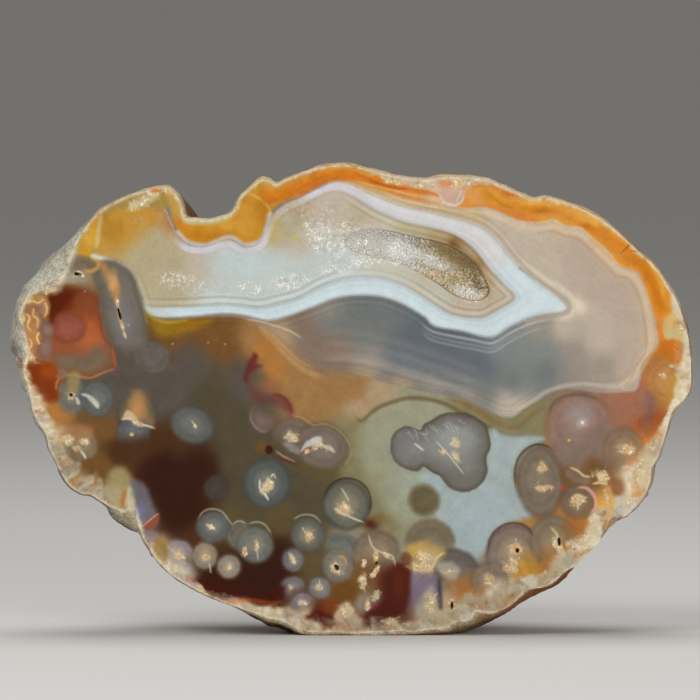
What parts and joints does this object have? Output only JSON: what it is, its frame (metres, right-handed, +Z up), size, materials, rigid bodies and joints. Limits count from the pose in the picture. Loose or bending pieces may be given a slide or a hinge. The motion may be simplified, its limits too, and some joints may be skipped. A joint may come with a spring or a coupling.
{
  "type": "agate specimen",
  "caption": "Cut and polished half of an agate nodule, standing on its rind with the banded face upright, a broken bay in its top edge and a small open hollow lined with quartz crystals.",
  "frame": {"origin": "middle of the stone in plan, on the surface that it stands on", "axes": "+X to the right across the polished face, +Y into the stone away from the polished face, +Z up"},
  "size_m": [0.1, 0.0358, 0.069],
  "materials": {
    "agate": "polished on the cut face, rough and pitted on the rind",
    "quartz": "glassy flat crystal faces"
  },
  "bodies": {
    "root": {"agate": "agate", "quartz_crust": "quartz"}
  },
  "joints": []
}
